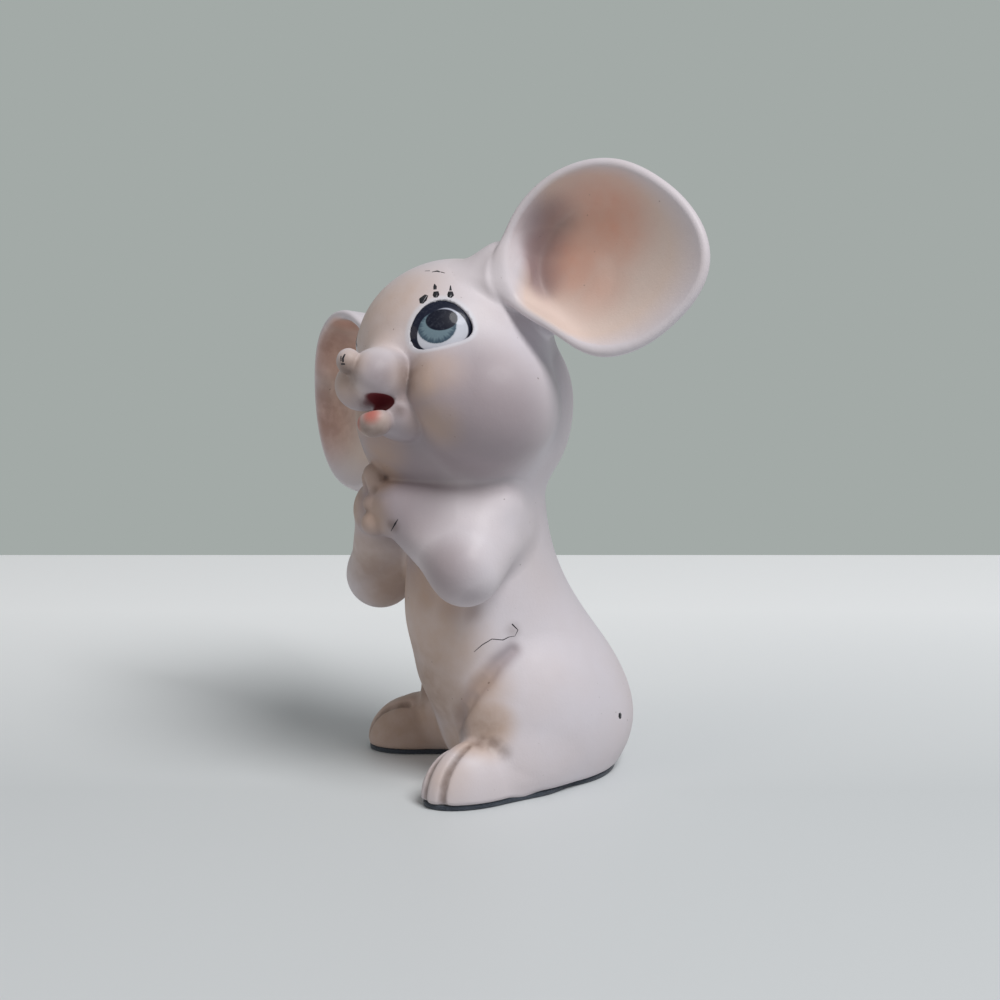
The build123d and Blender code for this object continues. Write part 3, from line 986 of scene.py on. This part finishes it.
def ranged(add, value, from_low, from_high, to_low=0.0, to_high=1.0):
    """A value carried from one range to another"""
    ends = {"From Min": from_low, "From Max": from_high, "To Min": to_low, "To Max": to_high}
    return add("MapRange", Value=value, **ends).outputs["Result"]


def noise(add, place, scale, detail=2.0):
    """A noise of a scale, from 0 to 1"""
    return add("TexNoise", Vector=place, Scale=scale, Detail=detail).outputs[0]


def attribute(add, name, kind="Fac"):
    """What the vertices carry under a name"""
    return add("Attribute", {"attribute_name": name}).outputs[kind]


def times(add, a, b):
    """Two values multiplied"""
    return add("Math", {"operation": "MULTIPLY"}, i0=a, i1=b).outputs[0]


PINK = linear(208, 202, 208)
PINK_WARM = linear(204, 195, 198)
PAINTED_HIGHLIGHT_PALE = linear(236, 230, 235)
TAN = linear(186, 156, 132)
# Colour of the painted shade
SHADE_MAUVE = linear(146, 132, 137)
PEACH = linear(214, 152, 126)
EAR_SHADE = linear(214, 193, 180)
LIP = linear(176, 92, 80)
BROWN = linear(88, 66, 56)
MOUTH_RED = linear(112, 34, 42)
LID_WHITE = linear(206, 208, 216)
PAINT_MOTTLE = linear(170, 176, 188)
BRUSH_BLACK = linear(16, 15, 26)
BRUSH_WORN = linear(84, 72, 74)
FELT_DARK = linear(26, 34, 46)
FELT_MIDDLE = linear(62, 72, 86)
FELT_DUSTY = linear(80, 88, 98)


def bisque():
    """Satin pink ceramic with airbrushed tan, worn specks and a slightly uneven skin, with painted shade in
    hollows and creases and on sides turned from the lamps, and a painted highlight on the forearms
    """
    material, add, place = new_material("pink_bisque")
    broad = noise(add, place, 45.0, 3.0)
    middle = noise(add, place, 260.0, 3.0)
    fine = noise(add, place, 2200.0)
    tan = times(add, attribute(add, "blush"), ranged(add, middle, 0.2, 0.8, 0.7, 1.0))
    peach = times(add, attribute(add, "peach"), ranged(add, middle, 0.2, 0.8, 0.65, 0.95))
    soil = times(add, attribute(add, "soil"), ranged(add, middle, 0.3, 0.6, 0.45, 1.0))
    specks = ranged(add, noise(add, place, 900.0, 1.0), 0.785, 0.81)
    colour = PINK
    for share, paint in (
        (ranged(add, broad, 0.35, 0.68), PINK_WARM),
        (ranged(add, attribute(add, "hollow"), 0.02, 0.3, 0.0, 0.8), EAR_SHADE),
        (attribute(add, "pale"), PAINTED_HIGHLIGHT_PALE),
        (times(add, attribute(add, "shade"), 0.9), SHADE_MAUVE),
        (times(add, tan, 0.85), TAN),
        (peach, PEACH),
        (ranged(add, attribute(add, "lid"), 1.5, 0.7, 0.0, 0.6), LID_WHITE),
        (soil, BROWN),
        (times(add, specks, 0.5), BROWN),
        (attribute(add, "lips"), LIP),
        (ranged(add, attribute(add, "mouth"), 0.35, 0.05), MOUTH_RED),
    ):
        colour = blend_colour(add, share, colour, paint)
    bump = add("Bump", Strength=0.25, Distance=0.00012, Height=fine)
    waves = add("Bump", Strength=0.18, Distance=0.0006, Height=middle, Normal=bump.outputs[0])
    roughness = ranged(add, middle, 0.3, 0.7, 0.56, 0.68)
    others = {"Normal": waves.outputs[0], "Coat Weight": 0.08, "Coat Roughness": 0.25}
    return surfaced(material, add, colour, roughness, others)


def enamel():
    """Glossy paint that takes its colour from the brushed drawing on the mesh"""
    material, add, place = new_material("eye_paint")
    paint = attribute(add, "paint", "Color")
    mottle = noise(add, place, 1500.0)
    brushed = blend_colour(add, ranged(add, mottle, 0.5, 0.8, 0.0, 0.05), paint, PAINT_MOTTLE)
    bump = add("Bump", Strength=0.15, Distance=0.0001, Height=mottle)
    roughness = ranged(add, mottle, 0.3, 0.7, 0.4, 0.5)
    gloss = {"Specular IOR Level": 0.15, "Coat Weight": 0.2, "Coat Roughness": 0.06}
    return surfaced(material, add, brushed, roughness, {"Normal": bump.outputs[0], **gloss})


def black_paint():
    """Thin worn black brush strokes"""
    material, add, place = new_material("brush_black")
    wear = noise(add, place, 1800.0, 3.0)
    colour = blend_colour(add, ranged(add, wear, 0.55, 0.75, 0.0, 0.5), BRUSH_BLACK, BRUSH_WORN)
    roughness = ranged(add, wear, 0.3, 0.7, 0.25, 0.45)
    return surfaced(material, add, colour, roughness, {})


def felt():
    """Dark pressed felt with short fibres"""
    material, add, place = new_material("navy_felt")
    stretched = add("Mapping", Vector=place, Scale=(1.0, 1.0, 2.5)).outputs[0]
    fibre = noise(add, stretched, 3000.0, 4.0)
    clump = noise(add, place, 500.0)
    colour = blend_colour(add, ranged(add, fibre, 0.35, 0.7), FELT_DARK, FELT_MIDDLE)
    colour = blend_colour(add, ranged(add, clump, 0.4, 0.8, 0.0, 0.4), colour, FELT_DUSTY)
    bump = add("Bump", Strength=0.8, Distance=0.0004, Height=fibre)
    roughness = ranged(add, clump, 0.3, 0.7, 0.88, 0.98)
    others = {"Normal": bump.outputs[0], "Sheen Weight": 0.3, "Sheen Roughness": 0.5}
    return surfaced(material, add, colour, roughness, others)


BISQUE, ENAMEL, BLACK, FELT = bisque(), enamel(), black_paint(), felt()


def place_piece(made, material, nodes):
    """Gives a piece its material and slot, and lets it ride in place of its nodes"""
    made.data.materials.append(material)
    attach(made, "root")
    if nodes:
        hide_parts(*nodes)


for number, node in enumerate(NODES):
    every, every_normal, faces, used = closed_patch(vertices, normals, quads[labels == number])
    piece = new_object("skin_" + node, every, faces)
    piece.data.normals_split_custom_set_from_vertices(every_normal.tolist())
    for name, values in surface_values.items():
        spare = np.full(len(every) - len(used), FAR_AWAY if name in ("mouth", "lid") else 0.0)
        attribute_data = piece.data.attributes.new(name, "FLOAT", "POINT").data
        attribute_data.foreach_set("value", np.concatenate([values[used], spare]).astype(np.float32))
    place_piece(piece, BISQUE, [node])


EYE_PAINT_EDGE = 0.12
EYE_SHELL_PROUD = 0.12
EYE_SHELL_BACK = 1.5
EYE_SHELL_LIP = ((1.0, 0.25), (0.97, 0.7))
IRIS_SOFTNESS = 4.0
IRIS_RIM_SOFTNESS = 6.0
IRIS_RIM_WIDTH = 0.9
IRIS_RIM_REACH = 1.6
IRIS_STREAKS = (9.0, 23.0)
IRIS_STREAK_DEPTH = 0.35
LOWER_LID_WIDTH = 0.35
SCLERA_SHADE_START = 4.0
SCLERA_SHADE_HEIGHT = 7.0
NAVY_BLACK = linear(16, 20, 40)
PUPIL_COLOUR = linear(6, 9, 30)
IRIS_COLOUR = linear(104, 124, 134)
IRIS_RIM = linear(66, 84, 98)
SCLERA = linear(206, 208, 216)
SCLERA_SHADE = linear(170, 174, 190)
LOWER_LID = linear(168, 146, 128)


def eye_paint(y, z):
    """Colours of the drawing on an eye at places sideways and up of its middle"""
    dy, dz = y - EYE_MIDDLE[0], z - EYE_MIDDLE[1]
    angle = np.arctan2(dz, dy)
    rim = eye_outline_at(angle) - np.hypot(dy, dz)

    def cover(colours, colour, distance):
        share = np.clip(0.5 - distance / EYE_PAINT_EDGE, 0.0, 1.0)[:, None]
        return colours * (1 - share) + np.array(colour) * share

    def beyond_oval(place, size):
        across, up = (y - place[0]) / size[0], (z - place[1]) / size[1]
        return (np.hypot(across, up) - 1.0) * min(size), np.arctan2(up, across)

    up_share = np.clip((z + SCLERA_SHADE_START) / SCLERA_SHADE_HEIGHT, 0.0, 1.0)[:, None]
    colours = np.array(SCLERA) * (1 - up_share) + np.array(SCLERA_SHADE) * up_share
    iris, turn = beyond_oval(IRIS_PLACE, IRIS_SIZE)
    streak = IRIS_STREAK_DEPTH * np.sin(turn * IRIS_STREAKS[0]) * np.sin(turn * IRIS_STREAKS[1] + 1.0)
    colours = cover(colours, IRIS_COLOUR, iris / IRIS_SOFTNESS)
    from_rim = (IRIS_RIM_WIDTH + streak - (iris + IRIS_RIM_REACH)) / IRIS_RIM_SOFTNESS
    colours = cover(colours, IRIS_RIM, np.where(iris > 0, FAR_AWAY, from_rim))
    colours = cover(colours, PUPIL_COLOUR, beyond_oval(PUPIL_PLACE, PUPIL_SIZE)[0])
    colours = cover(colours, LOWER_LID, rim - LOWER_LID_WIDTH)
    return cover(colours, NAVY_BLACK, rim - liner_width_at(angle))


def eye_piece(name, side):
    """A thin glossy shell on the eye's bulge, with its rim turned in"""
    rings, spokes = ((60, 160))
    turns = np.arange(spokes) * 2 * math.pi / spokes
    reach = eye_outline_at(turns)
    shell = []
    for share, sink in [(r / rings, 0.0) for r in range(1, rings + 1)] + list(EYE_SHELL_LIP):
        y = EYE_MIDDLE[0] + share * reach * np.cos(turns)
        z = EYE_MIDDLE[1] + share * reach * np.sin(turns)
        inner = 1.0 - (y / EYE_SIZE[1]) ** 2 - (z / EYE_SIZE[2]) ** 2
        x = EYE_SIZE[0] * np.sqrt(np.maximum(inner, 0.01)) + EYE_SHELL_PROUD - sink
        shell.append(np.stack([x, y, z], -1))
    hubs = [[EYE_SIZE[0] + lift, *EYE_MIDDLE] for lift in (EYE_SHELL_PROUD, -EYE_SHELL_BACK)]
    local = np.concatenate(shell + [hubs])
    last, top = (len(shell) - 1) * spokes, len(shell) * spokes
    faces = []
    for s in range(spokes):
        t = (s + 1) % spokes
        faces += [(i + s, i + spokes + s, i + spokes + t, i + t) for i in range(0, last, spokes)]
        faces += [(top, s, t), (top + 1, last + t, last + s)]
    head_points = (local @ EYE_AXES.T + EYE_CENTRE) * (1, side, 1)
    if side < 0:
        faces = [tuple(reversed(f)) for f in faces]
    piece = new_object(name, head_points @ HEAD_AXES.T + HEAD_CENTRE, faces)
    paint = piece.data.color_attributes.new("paint", "FLOAT_COLOR", "POINT")
    paint.data.foreach_set("color", eye_paint(local[:, 1], local[:, 2]).astype(np.float32).ravel())
    return piece


for name, side in SIDES.items():
    place_piece(eye_piece(f"painted_eye_{name}", side), ENAMEL, [f"eye_{name}"])


STROKE_PROUD = 0.07
STROKE_SUNK = 0.15
STROKE_STEPS = 10


def stroke(points, widths):
    """Vertices and faces of a thin brush stroke that lies on the clay"""
    normals = normals_of(figure, points)
    sideways = unit(np.cross(np.gradient(points, axis=0), normals)) * widths[:, None] / 2
    left, right = points - sideways, points + sideways
    top, low = points + normals * STROKE_PROUD, points - normals * STROKE_SUNK
    rings = np.stack([left, top, right, low], 1)
    end = 4 * (len(points) - 1)
    faces = [(3, 2, 1, 0), (end, end + 1, end + 2, end + 3)]
    for i in range(0, end, 4):
        faces += [(i + k, i + m, i + 4 + m, i + 4 + k) for k, m in ((0, 1), (1, 2), (2, 3), (3, 0))]
    return rings.reshape(-1, 3), faces


def strokes_piece(name, lines, other_side):
    """One piece from strokes, each given as places in the picture with the width there"""
    every, faces = [], []
    for marks in lines:
        at = np.linspace(0, len(marks) - 1, STROKE_STEPS * (len(marks) - 1) + 1)
        x, y, wide = (np.interp(at, np.arange(len(marks)), row) for row in np.array(marks).T)
        seen = seen_at(np.stack([x, y], -1))
        for points in [seen, mirrored(seen)] if other_side else [seen]:
            stroke_points, stroke_faces = stroke(points, wide)
            start = sum(len(some) for some in every)
            every.append(stroke_points)
            faces += [tuple(start + i for i in face) for face in stroke_faces]
    return new_object(name, np.concatenate(every), faces)


BROW_AND_LASHES = (
    ((425, 271, 0.15), (430, 270.8, 0.25)),
    ((432, 272, 0.25), (437, 271, 0.65), (440, 272, 0.35)),
    ((441, 272, 0.35), (445, 273, 0.2)),
    ((421.5, 303.5, 0.8), (423, 299.5, 1.9), (426.5, 295, 0.9)),
    ((435.5, 297.5, 0.8), (436, 295, 1.5), (436, 291.5, 1.1)),
    ((435, 289.5, 0.7), (435, 286.5, 0.8), (434.5, 284, 0.2)),
    ((449.5, 297.5, 0.8), (450.5, 295, 1.5), (450.5, 291.5, 1.0)),
    ((450.5, 290.5, 0.6), (450.5, 285.5, 0.2)),
)
NOSE_MARKS = (
    ((345, 354, 0.3), (343, 358, 0.5), (343, 362, 0.4)),
    ((341, 364, 0.4), (345, 364, 0.3)),
    ((341, 356, 0.3), (341, 361, 0.3)),
    ((356, 341, 0.15), (356.5, 344.5, 0.5), (357, 346.5, 0.6)),
)
# Hairline cracks and a chip, and a black stroke of painted shade in the near hand's finger groove
CRACKS_AND_FINGER_SHADE = (
    (
        (474, 652, 0.1), (482, 645, 0.2), (492, 639, 0.18), (503, 640, 0.22), (509, 637, 0.16),
        (515, 636, 0.1), (518, 630, 0.16), (512, 624, 0.35),
    ),
    ((619.5, 713, 0.8), (620, 715.5, 1.5), (620.5, 718.5, 0.8)),
    # Painted shade: the finger groove of the near hand
    ((398, 519, 0.1), (395, 524, 0.4), (391, 531, 0.12)),
)
place_piece(strokes_piece("brow_strokes", BROW_AND_LASHES, True), BLACK, [])
place_piece(strokes_piece("nose_strokes", NOSE_MARKS, False), BLACK, [])
place_piece(strokes_piece("cracks_and_finger_shade", CRACKS_AND_FINGER_SHADE, False), BLACK, [])


def pad(p):
    """The felt pad: the footprint of the body and both feet, a little smaller"""
    _, middle, half_width, half_depth = TORSO_SECTIONS[0]
    flat = p * (1, 1, 0)
    spread = math.sqrt(1.0 - ((HAUNCH_PLACE[2] - PAD_TOP) / HAUNCH_SIZE[2]) ** 2)
    haunch_size = spread * HAUNCH_SIZE[0], spread * HAUNCH_SIZE[1]

    def oval(own, half_sizes, inset):
        return ellipsoid(own, (half_sizes[0] - inset, half_sizes[1] - inset, FAR_AWAY))

    base = oval(flat - (0, middle, 0), (half_width, half_depth), PAD_INSET)
    for side in SIDES.values():
        haunch, heel = (flat - np.array(place) * (side, 1, 0) for place in (HAUNCH_PLACE, HEEL_PLACE))
        base = join(base, oval(haunch, haunch_size, PAD_INSET), PAD_FILLET)
        base = join(base, oval(heel, HEEL_SIZE, 2 * PAD_INSET), PAD_FILLET)
        base = join(base, oval(in_foot(flat, side) * (1, 1, 0), FOOT_SIZE, PAD_INSET), PAD_FOOT_FILLET)
    level = np.abs(p[:, 2] - PAD_TOP / 2) - PAD_TOP / 2
    return carve(base, -level, PAD_EASE)


pad_vertices, pad_faces = skinned(pad, *roomy(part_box("felt_pad"), PAD_MARGIN), PAD_VOXEL)
pad_vertices = settled(pad, pad_vertices)
pad_piece = new_object("felt_base", pad_vertices, pad_faces.tolist())
pad_piece.data.normals_split_custom_set_from_vertices(normals_of(pad, pad_vertices).tolist())
place_piece(pad_piece, FELT, ["felt_pad"])

# Table, lamps and camera
TABLE_BEHIND = 233.0
TABLE_REACH = 3000.0
# Painted light: the table is paler further from the camera
TABLE_NEAR = linear(208, 212, 214)
TABLE_FAR = linear(252, 254, 255)
TABLE_PALING = (-0.02, 0.15)
TABLE_ROUGHNESS = 0.5
BACKDROP = linear(163, 170, 167)
SKY_COLOUR = (0.84, 0.88, 0.92, 1.0)
SKY_STRENGTH = 0.26
LAMP_TARGET = np.array([0.0, -0.005, 0.07])
LAMPS = (
    # name, metres to the right, up and towards the camera, size, watts, colour
    ("key", (0.52, 1.08, 0.58), 0.7, 14.6, (1.0, 0.99, 0.99)),
    ("fill", (-0.75, 0.35, 0.45), 0.5, 1.0, (1.0, 0.86, 0.74)),
)


def table():
    """A plain pale table top that grows paler away from the camera, as painted light, and ends behind the
    figurine
    """
    material, add, place = new_material("pale_table")
    away = add("VectorMath", {"operation": "DOT_PRODUCT"}, i0=place, i1=tuple(LEVEL_FORWARD)).outputs["Value"]
    colour = blend_colour(add, ranged(add, away, *TABLE_PALING), TABLE_NEAR, TABLE_FAR)
    far, near = LEVEL_FORWARD * TABLE_BEHIND, -LEVEL_FORWARD * TABLE_REACH
    side = CAMERA_RIGHT * TABLE_REACH
    made = new_object("table", [far - side, far + side, near + side, near - side], [(3, 2, 1, 0)])
    made.data.materials.append(surfaced(material, add, colour, TABLE_ROUGHNESS, {}))


def placed(axes, place):
    """A transform from three axes and a place"""
    matrix = np.eye(4)
    matrix[:3, :3] = np.transpose(axes)
    matrix[:3, 3] = place
    return Matrix(matrix.tolist())


def lamp(name, offset, size, power, colour):
    """A round soft lamp right of, above and in front of the figurine's middle, turned towards it"""
    light = bpy.data.lights.new(name, "AREA")
    light.shape = "DISK"
    light.size = size
    light.energy = power
    light.color = colour
    right, up, front = offset
    place = LAMP_TARGET + right * CAMERA_RIGHT + up * PLUMB - front * LEVEL_FORWARD
    away = place - LAMP_TARGET
    away = away / np.linalg.norm(away)
    x_axis = np.cross(PLUMB, away)
    x_axis = x_axis / np.linalg.norm(x_axis)
    linked(name, light).matrix_world = placed([x_axis, np.cross(away, x_axis), away], place)


def backdrop():
    """Even grey-green surroundings where they show, and pale light elsewhere"""
    world = bpy.data.worlds.new("studio")
    bpy.context.scene.world = world
    add = nodes_of(world)
    path = add("LightPath")
    seen = path.outputs["Is Camera Ray"]
    for ray in ("Is Glossy Ray", "Is Transmission Ray"):
        seen = add("Math", {"operation": "MAXIMUM"}, i0=seen, i1=path.outputs[ray]).outputs[0]
    shown = add("Background", Color=BACKDROP, Strength=1.0)
    light = add("Background", Color=SKY_COLOUR, Strength=SKY_STRENGTH)
    mix = add("MixShader", i0=seen, i1=light.outputs[0], i2=shown.outputs[0])
    add("OutputWorld", Surface=mix.outputs[0])


def camera():
    """The camera of the photograph"""
    data = bpy.data.cameras.new("camera")
    data.sensor_width = SENSOR_WIDTH
    data.lens = FOCAL_PIXELS / PICTURE_PIXELS * SENSOR_WIDTH
    data.clip_start = NEAREST_SEEN
    made = linked("camera", data)
    made.matrix_world = placed([CAMERA_RIGHT, CAMERA_UP, -CAMERA_FORWARD], CAMERA_PLACE * MM)
    bpy.context.scene.camera = made


table()
for lamp_settings in LAMPS:
    lamp(*lamp_settings)
backdrop()
camera()
bpy.context.scene.view_settings.view_transform = "Standard"
